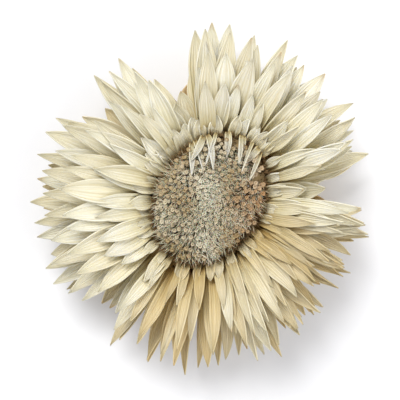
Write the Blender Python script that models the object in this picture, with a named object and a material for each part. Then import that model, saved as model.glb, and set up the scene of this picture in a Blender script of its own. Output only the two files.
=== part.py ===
"""Dried strawflower head, picked and cut flush under its base.

Ivory ray bracts stand in whorls round a domed disc of florets. A cup of short
tan scale bracts holds them from below, with the cut stem in its middle.
Units are metres, +Z is up, and the head lies face up on z = 0.
"""
import math
import random

import bmesh
import bpy
from mathutils import Matrix, Vector

MM = 0.001

# Driving sizes of the head
RAY_REACH = 17.9 * MM          # centre of the disc to the longest tips
DISC_RADIUS = 6.3 * MM
CLEARANCE = 0.3 * MM           # between pieces that touch
BLADE_THICKNESS = 0.6 * MM
MERGE_DISTANCE = 0.01 * MM
TURN_SIDES = 28
SHARP_ANGLE = math.radians(40)

# The cup of scale bracts, from the flat spot that the head rests on to its rim
CUP_FOOT_RADIUS = 4.4 * MM
CUP_FLARE_RADIUS = 5.7 * MM
CUP_FLARE_HEIGHT = 0.8 * MM
CUP_SHOULDER_RADIUS = 7.0 * MM
CUP_SHOULDER_HEIGHT = 2.2 * MM
CUP_RADIUS = 7.9 * MM
CUP_HEIGHT = 4.3 * MM

# The bowl that the ray bracts form round the disc, from its underside to its rim
BOWL_FOOT_RADIUS = 7.5 * MM
BOWL_BELLY_RADIUS = 7.9 * MM
BOWL_BELLY_HEIGHT = 5.6 * MM
BOWL_NECK_RADIUS = 7.4 * MM
BOWL_NECK_HEIGHT = 7.6 * MM
BOWL_RIM_WIDTH = 0.45 * MM
BOWL_RIM_HEIGHT = 8.6 * MM
BOWL_FLOOR_HEIGHT = 6.2 * MM
RAY_ROOT_RADIUS = 7.0 * MM

# The disc's dome
DOME_EDGE_HEIGHT = 9.3 * MM
DOME_TOP_HEIGHT = 11.6 * MM
DOME_RINGS = 4

# The cut stem, whose end stays above the resting face
STEM_RADIUS = 1.3 * MM
STEM_RECESS = 0.4 * MM
STEM_BEVEL = 0.15 * MM
STEM_PITH_RADIUS = 0.45 * STEM_RADIUS
STEM_PITH_SWELL = 0.1 * MM
STEM_COVER = 0.9 * MM          # what the cup has above the stem
STEM_SIDES = 20

# The disc and what surrounds it are slightly oval
OVAL_STRETCH = 1.09
OVAL_HEADING = math.radians(58)

# Where the head is uneven: heading in degrees, half width in degrees, share of the reach
GAPS = (
    ("notch beside the top bunch", 107, 7, -0.34),
    ("split on the right", 4, 5, -0.30),
    ("gap at the lower left", -143, 6, -0.30),
)
BUNCHES = (
    ("tall top bunch", 85, 16, 0.05),
    ("left bunch", 176, 24, 0.04),
    ("lower left bunch", -160, 10, 0.05),
    ("short lower right side", -38, 26, -0.13),
)
GAP_PARTING = math.radians(6)  # how far a gap pushes its neighbours aside

# Whorls of ray bracts, from the disc outwards: count, share of the reach,
# root height, rise at the root and at the tip in degrees, width, rows of faces
RAY_CUPPING = 0.35
RAY_WHORLS = (
    ("inner", 20, 0.62, 7.9 * MM, 62, 30, 1.5 * MM, 3),
    ("upper", 26, 0.85, 7.1 * MM, 44, 2, 2.1 * MM, 4),
    ("middle", 30, 0.95, 6.2 * MM, 28, -4, 2.2 * MM, 4),
    ("lower", 33, 1.00, 5.15 * MM, 11, -13, 2.2 * MM, 4),
)

# Whorls of scale bracts on the cup, from its rim down: count, root radius, root
# height, rise at the root and at the tip in degrees, width, length
SCALE_CUPPING = 0.3
SCALE_ROWS = 3
SCALE_WHORLS = (
    ("rim", 19, 6.8 * MM, 2.7 * MM, 24, 6, 3.1 * MM, 6.0 * MM),
    ("side", 16, 5.6 * MM, 1.35 * MM, 24, 22, 3.1 * MM, 5.0 * MM),
    ("foot", 12, 4.2 * MM, 0.55 * MM, 10, 26, 2.9 * MM, 4.4 * MM),
)

FLORET_COUNT = 104
FLORET_RADIUS = 0.66 * MM
FLORET_HEIGHT = 0.7 * MM
FLORET_SIDES = 4
GOLDEN_ANGLE = math.pi * (3 - math.sqrt(5))
DRAW_SEED = 23

IVORY = (0.83, 0.77, 0.62)
GREY_BROWN = (0.34, 0.28, 0.19)
TAN = (0.66, 0.52, 0.31)
STALK_BROWN = (0.33, 0.27, 0.14)


def clear_scene():
    """Remove every object, so that the script starts from nothing."""
    for old in list(bpy.data.objects):
        bpy.data.objects.remove(old, do_unlink=True)


def make_collection(name):
    """Add a collection under the scene's own."""
    group = bpy.data.collections.new(name)
    bpy.context.scene.collection.children.link(group)
    return group


def make_material(name, colour, roughness):
    """Return a plain dry material."""
    finish = bpy.data.materials.new(name)
    finish.use_nodes = True
    shader = finish.node_tree.nodes["Principled BSDF"]
    shader.inputs["Base Color"].default_value = (*colour, 1.0)
    shader.inputs["Roughness"].default_value = roughness
    shader.inputs["Metallic"].default_value = 0.0
    return finish


def heading_gap(first, second):
    """Return the signed turn from one heading to another, within half a turn."""
    return (first - second + math.pi) % (2 * math.pi) - math.pi


def reach_share(heading):
    """Return how far the head reaches towards a heading, 1 on a plain stretch."""
    share = 1.0
    for _name, centre, half_width, change in GAPS + BUNCHES:
        turn = heading_gap(heading, math.radians(centre)) / math.radians(half_width)
        share += change * math.exp(-turn * turn)
    return share


def parted(heading):
    """Return a heading pushed away from any gap beside it."""
    push = 0.0
    for _name, centre, half_width, _change in GAPS:
        turn = heading_gap(heading, math.radians(centre)) / math.radians(half_width)
        push += GAP_PARTING * turn * math.exp(0.5 - 0.5 * turn * turn)
    return heading + push


def oval_share(heading):
    """Return the oval's radius towards a heading, against a circle's."""
    turn = heading - OVAL_HEADING
    along = math.cos(turn) / OVAL_STRETCH
    across = math.sin(turn) * OVAL_STRETCH
    return 1.0 / math.hypot(along, across)


def oval_matrix():
    """Return the matrix that stretches a circle to the disc's oval."""
    turn = Matrix.Rotation(OVAL_HEADING, 4, "Z")
    stretch = Matrix.Diagonal((OVAL_STRETCH, 1 / OVAL_STRETCH, 1.0, 1.0))
    return turn @ stretch @ turn.inverted()


def object_from_bmesh(shape, name, group):
    """Turn a bmesh into a linked object."""
    mesh = bpy.data.meshes.new(name)
    shape.to_mesh(mesh)
    shape.free()
    result = bpy.data.objects.new(name, mesh)
    group.objects.link(result)
    return result


def make_turned(name, profile, sides, group):
    """Turn a closed profile of (radius, height) round the head's axis, as an oval."""
    shape = bmesh.new()
    corners = [shape.verts.new((radius, 0.0, height)) for radius, height in profile]
    edges = [shape.edges.new(pair) for pair in zip(corners, corners[1:])]
    bmesh.ops.spin(
        shape,
        geom=corners + edges,
        cent=(0, 0, 0),
        axis=(0, 0, 1),
        angle=2 * math.pi,
        steps=sides,
    )
    bmesh.ops.remove_doubles(shape, verts=shape.verts, dist=MERGE_DISTANCE)
    bmesh.ops.recalc_face_normals(shape, faces=shape.faces)
    shape.transform(oval_matrix())
    return object_from_bmesh(shape, name, group)


def width_share(along):
    """Return a ray bract's width along its length: a narrow claw, a belly, a point."""
    if along >= 1.0:
        return 0.0
    claw = 0.5 * (1 - along) ** 2
    belly = math.sin(math.pi * along ** 1.25) ** 0.8
    return min(1.0, claw + belly * (1 - 0.15 * along))


def scale_share(along):
    """Return a scale bract's width along its length: broad, with a blunt point."""
    if along >= 1.0:
        return 0.0
    return math.sqrt(1 - along ** 2.6)


def make_blade(name, group, blade):
    """Bend a thin grid into one bract and give it its thickness."""
    shape = bmesh.new()
    bmesh.ops.create_grid(shape, x_segments=blade["rows"], y_segments=2, size=1.0)
    rows = blade["rows"]
    step = blade["length"] / rows
    spine = [Vector((0.0, 0.0, 0.0))]
    rises = []
    for index in range(rows + 1):
        share = index / rows
        rises.append(blade["rise_root"] * (1 - share) + blade["rise_tip"] * share)
    for index in range(rows):
        rise = 0.5 * (rises[index] + rises[index + 1])
        ahead = Vector((math.cos(rise), 0.0, math.sin(rise)))
        spine.append(spine[-1] + ahead * step)
    for vert in shape.verts:
        row = round((vert.co.x + 1) / 2 * rows)
        side = vert.co.y
        share = row / rows
        half = 0.5 * blade["width"] * blade["outline"](share)
        normal = Vector((-math.sin(rises[row]), 0.0, math.cos(rises[row])))
        lift = blade["cup"] * half * side * side * (1 - share) + BLADE_THICKNESS / 2
        sway = blade["sway"] * share * share
        place = spine[row] + normal * lift
        vert.co = place + Vector((0.0, side * half + sway, 0.0))
    bmesh.ops.remove_doubles(shape, verts=shape.verts, dist=MERGE_DISTANCE)
    bmesh.ops.triangulate(shape, faces=shape.faces)
    shape.normal_update()
    if sum(face.normal.z for face in shape.faces) < 0:
        bmesh.ops.reverse_faces(shape, faces=shape.faces)
    bmesh.ops.solidify(shape, geom=shape.faces, thickness=BLADE_THICKNESS)
    bmesh.ops.recalc_face_normals(shape, faces=shape.faces)
    root = blade["root"]
    turn = Matrix.Rotation(blade["heading"], 4, "Z")
    roll = Matrix.Rotation(blade["roll"], 4, "X")
    shape.transform(Matrix.Translation(root) @ turn @ roll)
    return object_from_bmesh(shape, name, group)


def rise_length(reach, rise_root, rise_tip):
    """Return how long a blade is that reaches so far while its rise changes evenly."""
    steps = 8
    total = 0.0
    for index in range(steps):
        share = (index + 0.5) / steps
        total += math.cos(rise_root * (1 - share) + rise_tip * share)
    return reach * steps / total


def keep_outer_skin(mesh):
    """Delete the skins of sealed pockets and loose scraps, and keep the largest one."""
    shape = bmesh.new()
    shape.from_mesh(mesh)
    unseen = set(shape.verts)
    skins = []
    while unseen:
        edge_of_skin = [unseen.pop()]
        skin = list(edge_of_skin)
        while edge_of_skin:
            vert = edge_of_skin.pop()
            for edge in vert.link_edges:
                other = edge.other_vert(vert)
                if other in unseen:
                    unseen.remove(other)
                    edge_of_skin.append(other)
                    skin.append(other)
        skins.append(skin)
    skins.sort(key=len)
    for skin in skins[:-1]:
        bmesh.ops.delete(shape, geom=skin, context="VERTS")
    shape.to_mesh(mesh)
    shape.free()


def join_repeats(core, repeats):
    """Fuse the repeats into their core with one union and remove them."""
    union = core.modifiers.new("fuse", "BOOLEAN")
    union.operation = "UNION"
    union.operand_type = "COLLECTION"
    union.collection = repeats
    union.solver = "MANIFOLD"
    bpy.context.view_layer.update()
    graph = bpy.context.evaluated_depsgraph_get()
    fused = bpy.data.meshes.new_from_object(core.evaluated_get(graph))
    core.modifiers.remove(union)
    core.data = fused
    keep_outer_skin(fused)
    for item in list(repeats.objects):
        bpy.data.objects.remove(item, do_unlink=True)
    bpy.data.collections.remove(repeats)


def finish_piece(piece, finish):
    """Give a piece its material and smooth shading."""
    piece.data.materials.clear()
    piece.data.materials.append(finish)
    piece.data.shade_smooth()
    piece.data.set_sharp_from_angle(angle=SHARP_ANGLE)


def make_ray_bracts(group, draw):
    """Model the ivory ray bracts, fused in whorls to the bowl that holds the disc."""
    floor = CUP_HEIGHT + CLEARANCE
    inside = DISC_RADIUS + CLEARANCE
    profile = (
        (0.0, floor),
        (BOWL_FOOT_RADIUS, floor),
        (BOWL_BELLY_RADIUS, BOWL_BELLY_HEIGHT),
        (BOWL_NECK_RADIUS, BOWL_NECK_HEIGHT),
        (inside + BOWL_RIM_WIDTH, BOWL_RIM_HEIGHT),
        (inside, BOWL_RIM_HEIGHT),
        (inside, BOWL_FLOOR_HEIGHT),
        (0.0, BOWL_FLOOR_HEIGHT),
    )
    bowl = make_turned("ray_bracts", profile, TURN_SIDES, group)
    repeats = make_collection("ray repeats")
    for name, count, share, height, rise_root, rise_tip, width, rows in RAY_WHORLS:
        start = draw.uniform(0, 2 * math.pi)
        for index in range(count):
            even = start + 2 * math.pi * (index + draw.uniform(-0.16, 0.16)) / count
            heading = parted(even)
            outer = RAY_REACH * share * reach_share(even) * draw.uniform(0.95, 1.02)
            radius = RAY_ROOT_RADIUS * oval_share(heading)
            first = math.radians(rise_root + draw.uniform(-4, 4))
            last = math.radians(rise_tip + draw.uniform(-7, 7))
            root = Vector((math.cos(heading) * radius, math.sin(heading) * radius, height))
            make_blade(f"{name} ray {index}", repeats, {
                "rows": rows,
                "length": rise_length(outer - radius, first, last),
                "rise_root": first,
                "rise_tip": last,
                "width": width * draw.uniform(0.88, 1.1),
                "outline": width_share,
                "cup": RAY_CUPPING,
                "sway": draw.uniform(-0.5, 0.5) * MM,
                "roll": math.radians(draw.uniform(-7, 7)),
                "heading": heading,
                "root": root,
            })
    join_repeats(bowl, repeats)
    return bowl


def make_outer_bracts(group, draw):
    """Model the tan scale bracts, fused in whorls to the cup that carries the head."""
    bore = STEM_RADIUS + CLEARANCE
    bore_top = CUP_HEIGHT - STEM_COVER
    profile = (
        (0.0, bore_top),
        (bore, bore_top),
        (bore, 0.0),
        (CUP_FOOT_RADIUS, 0.0),
        (CUP_FLARE_RADIUS, CUP_FLARE_HEIGHT),
        (CUP_SHOULDER_RADIUS, CUP_SHOULDER_HEIGHT),
        (CUP_RADIUS, CUP_HEIGHT),
        (0.0, CUP_HEIGHT),
    )
    cup = make_turned("outer_bracts", profile, TURN_SIDES, group)
    repeats = make_collection("scale repeats")
    for name, count, root_radius, height, rise_root, rise_tip, width, length in SCALE_WHORLS:
        start = draw.uniform(0, 2 * math.pi)
        for index in range(count):
            heading = start + 2 * math.pi * (index + draw.uniform(-0.1, 0.1)) / count
            radius = root_radius * oval_share(heading)
            first = math.radians(rise_root)
            last = math.radians(rise_tip + draw.uniform(-3, 3))
            root = Vector((math.cos(heading) * radius, math.sin(heading) * radius, height))
            make_blade(f"{name} scale {index}", repeats, {
                "rows": SCALE_ROWS,
                "length": length * draw.uniform(0.92, 1.06),
                "rise_root": first,
                "rise_tip": last,
                "width": width * draw.uniform(0.92, 1.08),
                "outline": scale_share,
                "cup": SCALE_CUPPING,
                "sway": 0.0,
                "roll": 0.0,
                "heading": heading,
                "root": root,
            })
    join_repeats(cup, repeats)
    return cup


def dome_height(radius):
    """Return the height of the disc's dome at a radius."""
    share = min(1.0, radius / DISC_RADIUS)
    return DOME_EDGE_HEIGHT + (DOME_TOP_HEIGHT - DOME_EDGE_HEIGHT) * (1 - share ** 2.4)


def make_disc_florets(group, draw):
    """Model the domed disc with its florets standing out of it."""
    floor = BOWL_FLOOR_HEIGHT + CLEARANCE
    profile = [(0.0, floor), (DISC_RADIUS, floor)]
    for index in range(DOME_RINGS + 1):
        radius = DISC_RADIUS * (1 - index / DOME_RINGS)
        profile.append((radius, dome_height(radius)))
    dome = make_turned("disc_florets", profile, TURN_SIDES, group)
    repeats = make_collection("floret repeats")
    for index in range(FLORET_COUNT):
        radius = (DISC_RADIUS - 0.9 * FLORET_RADIUS) * math.sqrt((index + 0.5) / FLORET_COUNT)
        heading = index * GOLDEN_ANGLE
        shape = bmesh.new()
        bmesh.ops.create_cone(
            shape,
            cap_ends=True,
            segments=FLORET_SIDES,
            radius1=FLORET_RADIUS,
            radius2=0.5 * FLORET_RADIUS,
            depth=2 * FLORET_HEIGHT,
        )
        lean = Matrix.Rotation(draw.uniform(0.0, 0.25) + 0.35 * radius / DISC_RADIUS, 4, "Y")
        place = Matrix.Translation((radius, 0.0, dome_height(radius) + draw.uniform(0, 0.2) * MM))
        spin = Matrix.Rotation(draw.uniform(0, 2 * math.pi), 4, "Z")
        turn = Matrix.Rotation(heading, 4, "Z")
        shape.transform(oval_matrix() @ turn @ place @ lean @ spin)
        object_from_bmesh(shape, f"floret {index}", repeats)
    join_repeats(dome, repeats)
    return dome


def make_stem_stub(group):
    """Model the cut stem, sunk in the cup's foot."""
    top = CUP_HEIGHT - STEM_COVER - CLEARANCE
    profile = (
        (0.0, STEM_RECESS + STEM_BEVEL),
        (STEM_PITH_RADIUS, STEM_RECESS + STEM_PITH_SWELL),
        (0.9 * STEM_RADIUS, STEM_RECESS),
        (STEM_RADIUS, STEM_RECESS + STEM_BEVEL),
        (STEM_RADIUS, top),
        (0.0, top),
    )
    return make_turned("stem_stub", profile, STEM_SIDES, group)


def centre_head(pieces):
    """Shift the pieces so that the head's box is centred over the origin."""
    corners = [vert.co for piece in pieces for vert in piece.data.vertices]
    low = Vector([min(corner[axis] for corner in corners) for axis in range(3)])
    high = Vector([max(corner[axis] for corner in corners) for axis in range(3)])
    shift = Vector((-(low.x + high.x) / 2, -(low.y + high.y) / 2, -low.z))
    for piece in pieces:
        piece.location = shift
    return shift, high - low


def main():
    clear_scene()
    draw = random.Random(DRAW_SEED)
    head = make_collection("dried strawflower")
    rays = make_ray_bracts(head, draw)
    scales = make_outer_bracts(head, draw)
    disc = make_disc_florets(head, draw)
    stem = make_stem_stub(head)
    finish_piece(rays, make_material("ivory bract", IVORY, 0.6))
    finish_piece(scales, make_material("tan bract", TAN, 0.55))
    finish_piece(disc, make_material("dry floret", GREY_BROWN, 0.9))
    finish_piece(stem, make_material("cut stalk", STALK_BROWN, 0.85))
    pieces = (rays, scales, disc, stem)
    shift, size = centre_head(pieces)
    print("head moved by", [round(1000 * value, 3) for value in shift], "mm")
    print("head measures", [round(1000 * value, 2) for value in size], "mm")
    for piece in pieces:
        piece.data.calc_loop_triangles()
        print(piece.name, len(piece.data.loop_triangles), "triangles")


main()
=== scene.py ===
# %% [markdown]
# A dried strawflower head, seen from straight above, ivory with a brown disc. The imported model
# gives each part its place. A head drawn afresh would drift from those sizes, so this script
# keeps them and adds papery skin, veins and bristles.

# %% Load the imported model
import math
import random

import bpy
from mathutils import Matrix, Vector


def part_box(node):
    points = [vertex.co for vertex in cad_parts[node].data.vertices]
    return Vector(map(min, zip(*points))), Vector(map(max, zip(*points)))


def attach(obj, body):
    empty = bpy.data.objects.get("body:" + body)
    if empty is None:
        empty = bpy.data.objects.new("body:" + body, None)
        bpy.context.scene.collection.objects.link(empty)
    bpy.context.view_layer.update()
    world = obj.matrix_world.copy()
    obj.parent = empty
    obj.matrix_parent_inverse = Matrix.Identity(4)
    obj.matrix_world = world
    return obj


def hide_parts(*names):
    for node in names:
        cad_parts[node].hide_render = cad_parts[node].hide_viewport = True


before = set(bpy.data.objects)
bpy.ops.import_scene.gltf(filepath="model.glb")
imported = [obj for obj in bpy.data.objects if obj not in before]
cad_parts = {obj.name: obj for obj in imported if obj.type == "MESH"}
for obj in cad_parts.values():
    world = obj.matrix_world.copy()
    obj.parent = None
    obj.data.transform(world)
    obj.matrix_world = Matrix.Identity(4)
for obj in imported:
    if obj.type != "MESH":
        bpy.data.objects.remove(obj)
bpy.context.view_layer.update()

MM = 0.001


def in_mm(lengths):
    """Return lengths in metres as rounded millimetres, to print them."""
    return [round(length / MM, 2) for length in lengths]


# %% [markdown]
# Everything turns round the axis of the cut stem, which is not quite the middle of the box, as
# the bracts are longer on one side. The axis could be typed in, but the stem's node is an oval,
# so the middle of its box is on that axis.

# %% Find the head's axis
FULL_TURN = 2 * math.pi
stem_low, stem_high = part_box("stem_stub")
AXIS = Vector(((stem_low.x + stem_high.x) / 2, (stem_low.y + stem_high.y) / 2, 0.0))
print("axis at, mm:", in_mm(AXIS))

# %% [markdown]
# No dried head is even: some bracts dried in tall, flat bunches, others curled, thinned or split
# apart. Random numbers would spread that evenly, so each stretch of the outline is a named row:
# where it lies and how wide it is, in degrees, and what it changes.

# %% Name the head's gaps and bunches
def table(columns, *rows):
    """Return rows of values as dicts, under the names of their columns."""
    return [dict(zip(columns.split(), row)) for row in rows]


GAPS = table(
    "name heading spread reach parting",
    ("notch beside the top bunch", 108, 6, -0.37, 6),
    ("crease at the upper left", 139, 4, -0.16, 4),
    ("split on the right", 5, 5, -0.28, 5),
    ("gap at the lower left", -136, 4, -0.17, 0),
)
STRETCHES = table(
    "name heading spread reach width warmth curl tangle",
    ("tall top bunch", 86, 18, 0.04, 0.25, -0.35, -4, -0.45),
    ("upper right", 50, 14, 0.0, 0.1, -0.3, 5, 0.0),
    ("right tips", 22, 14, 0.0, -0.1, -0.2, 5, 0.1),
    ("curled upper left", 142, 16, 0.0, 0.1, -0.2, 50, 0.3),
    ("left bunch", 176, 24, 0.04, 0.25, -0.1, -5, -0.6),
    ("lower left bunch", -154, 11, 0.05, 0.2, -0.2, 2, -0.3),
    ("slender lower side", -102, 30, 0.04, -0.3, 0.75, 0, 0.1),
    ("short lower right side", -38, 26, -0.10, -0.3, 0.8, 16, 0.9),
)
print("the outline has", len(GAPS), "gaps and", len(STRETCHES), "stretches of its own")

# %% [markdown]
# On the real head one stretch runs into the next. Hard limits would show as steps, so a bell
# curve fades each change in and out. A gap also parts the bracts beside it: the push is none in
# its middle, whole one spread away, and gone further out.

# %% Fade each stretch into the next
def heading_gap(first, second):
    """Return the signed turn from one heading to another, within half a turn."""
    return (first - second + math.pi) % FULL_TURN - math.pi


def spreads_off(heading, centre, spread):
    """Return how many spreads a heading lies off a centre, both in degrees."""
    return heading_gap(heading, math.radians(centre)) / math.radians(spread)


def bell(heading, centre, spread):
    """Return 1 at a centre in degrees, fading to 0 over a spread in degrees."""
    turn = spreads_off(heading, centre, spread)
    return math.exp(-turn * turn)


def stretch_sum(heading, quality):
    """Add up what the uneven stretches change in one quality at a heading."""
    return sum(
        line[quality] * bell(heading, line["heading"], line["spread"]) for line in STRETCHES
    )


def reach_share(heading):
    """Return how far the head reaches towards a heading, 1 on a plain stretch."""
    gaps = sum(gap["reach"] * bell(heading, gap["heading"], gap["spread"]) for gap in GAPS)
    return 1.0 + gaps + stretch_sum(heading, "reach")


def parting(heading):
    """Return how far the gaps beside a heading push a bract aside, in radians."""
    push = 0.0
    for gap in GAPS:
        turn = spreads_off(heading, gap["heading"], gap["spread"])
        push += math.radians(gap["parting"]) * turn * math.exp(0.5 - 0.5 * turn * turn)
    return push


EIGHTH_TURNS = [math.radians(45 * step) for step in range(8)]
print("reach by eighths of a turn:", [round(reach_share(turn), 2) for turn in EIGHTH_TURNS])

# %% [markdown]
# The disc dried to an oval. The bowl round it follows that oval, and the cup does so more
# weakly. Scaling finished pieces would squash their bracts too, so only the radius at which a
# thing stands is stretched.

# %% Stretch round things to the head's oval
OVAL_HEADING = math.radians(58)


def oval_share(heading, stretch):
    """Return an oval's radius towards a heading, against a circle's."""
    turn = heading - OVAL_HEADING
    return 1.0 / math.hypot(math.cos(turn) / stretch, math.sin(turn) * stretch)


def off_axis(heading, out, height):
    """Return the step from the axis to a heading, a distance out and a height."""
    return Vector((math.cos(heading) * out, math.sin(heading) * out, height))


print("the head's ovals are longest towards", round(math.degrees(OVAL_HEADING)), "degrees")

# %% [markdown]
# Hundreds of bracts, tubes and bristles would be slow as separate objects, so a pile makes one
# mesh of many. With each point it keeps marks: how far along and across its bract it lies, and
# the bract's tint and warmth. Materials read them, so veins run along every bract.

# %% Gather many small sheets into one mesh
MARKS = ("along", "across", "tint", "warmth")


class Pile:
    """Points, faces and marks of many small shapes that become one mesh."""

    def __init__(self):
        self.points = []
        self.faces = []
        self.marks = {name: [] for name in MARKS}

    def add(self, points, faces, tint, warmth):
        """Put one shape on the pile, with each point as (place, along, across)."""
        first = len(self.points)
        self.faces.extend([[first + corner for corner in face] for face in faces])
        for place, along, across in points:
            self.points.append(place)
            for name, value in zip(MARKS, (along, across, tint, warmth)):
                self.marks[name].append(value)

    def make(self, name):
        """Return a mesh of all that is on the pile."""
        mesh = bpy.data.meshes.new(name)
        mesh.from_pydata([tuple(point) for point in self.points], [], self.faces)
        for mark, values in self.marks.items():
            mesh.attributes.new(mark, "FLOAT", "POINT").data.foreach_set("value", values)
        mesh.validate()
        mesh.shade_smooth()
        return mesh


print("every point on a pile keeps its", ", ".join(MARKS))

# %% [markdown]
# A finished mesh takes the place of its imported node, rides with the head and carries the node's
# kind of material. One function does all three, so none is forgotten. Dry paper is a sheet
# without thickness, and two modifiers round its corners and give it two faces.

# %% Put a piece in its node's place
SMOOTHING = 1


def place_piece(name, mesh, finish, slot_name, node):
    """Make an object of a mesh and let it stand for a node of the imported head."""
    mesh.materials.append(finish)
    piece = bpy.data.objects.new(name, mesh)
    bpy.context.scene.collection.objects.link(piece)
    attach(piece, "root")
    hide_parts(node)
    return piece


def thicken(piece, thickness):
    """Smooth a sheet and give it the thickness of dry paper."""
    smooth = piece.modifiers.new("smooth", "SUBSURF")
    smooth.levels = SMOOTHING
    smooth.render_levels = SMOOTHING
    skin = piece.modifiers.new("skin", "SOLIDIFY")
    skin.thickness = thickness
    skin.offset = 0.0


print("each sheet's faces are split in", 4 ** SMOOTHING, "to smooth it")

# %% [markdown]
# A ray bract is a narrow leaf: a slim claw where it grows out of the head, a belly, and a fine
# point. A list of widths would fix one shape, so a formula gives the width along the leaf, and
# its fullness moves the belly.

# %% Outline a ray bract
CLAW_WIDTH = 0.55
BELLY_BLUNTNESS = 0.75
POINT_TAPER = 0.3
LEAST_RAY_WIDTH = 0.03


def ray_outline(along, fullness):
    """Return a ray bract's width along its length: a narrow claw, a belly, a point."""
    claw = CLAW_WIDTH * (1 - along) ** 2
    belly = 0.0
    if 0 < along < 1:
        belly = math.sin(math.pi * along ** fullness) ** BELLY_BLUNTNESS
    return max(LEAST_RAY_WIDTH, min(1.0, claw + belly * (1 - POINT_TAPER * along ** 3)))


print("a ray's width by quarters:", [round(ray_outline(step / 4, 1.2), 2) for step in range(5)])

# %% [markdown]
# A bract leaves the head steeply and bends outwards, and dry ones curl, sway and twist. Lattices
# or bones could bend it, but those need one object each. Here its centre line is walked in short
# steps while its rise and its yaw change.

# %% Walk a bract's centre line
ROWS = 14
CURL_START = 0.66
WANDER_TURN = 2.6


def soft_step(share):
    """Return a share from 0 to 1 that starts and ends gently."""
    return share * share * (3 - 2 * share)


def centre_line(plan):
    """Walk a bract's centre line, and return its points, sides and upper ways."""
    step = plan["length"] / ROWS
    place = Vector((0.0, 0.0, 0.0))
    line = []
    for row in range(ROWS + 1):
        along = row / ROWS
        bent = max(0.0, (along - CURL_START) / (1 - CURL_START))
        rise = plan["rise_root"] + (plan["rise_tip"] - plan["rise_root"]) * soft_step(along)
        rise += plan["curl"] * bent * bent
        yaw = plan["sway"] * along + plan["wander"] * math.sin(WANDER_TURN * along + plan["phase"])
        ahead = Vector((
            math.cos(rise) * math.cos(yaw),
            math.cos(rise) * math.sin(yaw),
            math.sin(rise),
        ))
        turn = Matrix.Rotation(plan["roll"] + plan["twist"] * along, 3, ahead)
        side = turn @ Vector((-math.sin(yaw), math.cos(yaw), 0.0))
        line.append((place.copy(), side, ahead.cross(side)))
        place += ahead * step
    return line


print("a centre line has", ROWS + 1, "points")

# %% [markdown]
# A dry bract is never flat: its edges furl up like a gutter, pleats run along it, its free edges
# ripple, and it is a little crumpled. Sculpting each would take days, so each row of the sheet
# is an arc with those lifts added. One seeded source gives all random numbers, so each run grows
# the same head.

# %% Bend the sheet across the line
COLUMNS = 6
draw = random.Random(41)


def add_bract(pile, plan):
    """Add one bent bract to a pile."""
    points = []
    turn = Matrix.Rotation(plan["heading"], 3, "Z")
    for row, (place, side, up) in enumerate(centre_line(plan)):
        along = row / ROWS
        half = 0.5 * plan["width"] * plan["outline"](along, plan["fullness"])
        furl = plan["furl_root"] * (1 - along) + plan["furl_tip"] * along
        for column in range(COLUMNS + 1):
            across = 2 * column / COLUMNS - 1
            out = half * math.sin(across * furl) / furl
            lift = half * (1 - math.cos(across * furl)) / furl
            lift += plan["pleat"] * half * math.cos(math.pi * across * plan["folds"])
            ripple = math.sin(plan["ripples"] * along + plan["phase"] + 2 * across)
            lift += plan["ripple"] * half * across * across * ripple
            lift += plan["crumple"] * half * draw.gauss(0, 1)
            point = plan["root"] + turn @ (place + side * out + up * lift)
            points.append((point, along, across))
    faces = []
    wide = COLUMNS + 1
    for row in range(ROWS):
        for column in range(COLUMNS):
            corner = row * wide + column
            faces.append((corner, corner + wide, corner + wide + 1, corner + 1))
    pile.add(points, faces, plan["tint"], plan["warmth"])


print("one bract is a sheet of", ROWS * COLUMNS, "faces")

# %% [markdown]
# A finish is a sum of small effects, easier to read as a sum than as a web of nodes. A wire
# stands for one socket, and the usual signs between wires add the Math nodes.

# %% Write shader maths as sums
class Wire:
    """One shader socket that can stand in a sum."""

    def __init__(self, desk, socket):
        self.desk = desk
        self.socket = socket

    def __add__(self, other):
        return self.desk.math("ADD", self, other)

    def __sub__(self, other):
        return self.desk.math("SUBTRACT", self, other)

    def __rsub__(self, other):
        return self.desk.math("SUBTRACT", other, self)

    def __mul__(self, other):
        return self.desk.math("MULTIPLY", self, other)

    __radd__ = __add__
    __rmul__ = __mul__


print("signs between wires: +, - and *")

# %% [markdown]
# Every other node is made by one method, from its type, its settings and what goes into its
# sockets. Nodes could be placed by hand, but a written one can be read, and made again, in one
# line.

# %% Lay out a desk for one material
class NodeDesk:
    """One material and the nodes that make it."""

    def __init__(self, name, constants):
        self.material = bpy.data.materials.new(name)
        self.material.use_nodes = True
        self.tree = self.material.node_tree
        self.surface = self.tree.nodes["Principled BSDF"]
        for socket_name, value in constants.items():
            self.surface.inputs[socket_name].default_value = value

    def feed(self, socket, value):
        """Link a wire to a socket, or set the socket's own value."""
        if isinstance(value, Wire):
            self.tree.links.new(value.socket, socket)
        else:
            socket.default_value = value

    def node(self, kind, settings=None, sockets=None, out=0):
        """Add a node, set it up, feed its sockets and return one output."""
        made = self.tree.nodes.new(kind)
        for key, value in (settings or {}).items():
            if key == "stops":
                while len(made.color_ramp.elements) < len(value):
                    made.color_ramp.elements.new(1.0)
                for stop, (place, colour) in zip(made.color_ramp.elements, value):
                    stop.position = place
                    stop.color = colour
            else:
                setattr(made, key, value)
        for key, value in (sockets or {}).items():
            self.feed(made.inputs[key], value)
        return Wire(self, made.outputs[out])

    def math(self, operation, first, second):
        """Add one Math node."""
        return self.node("ShaderNodeMath", {"operation": operation}, {0: first, 1: second})


print("a node is made from its type, its settings and its sockets")

# %% [markdown]
# The finishes share a few steps: read a mark, blend two colours, colour a share by a ramp, lay
# noise along a bract. Painted petals would blur up close, while noise is sharp at any size.
# Veins are finer than the mesh, so their relief is a bump.

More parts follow.
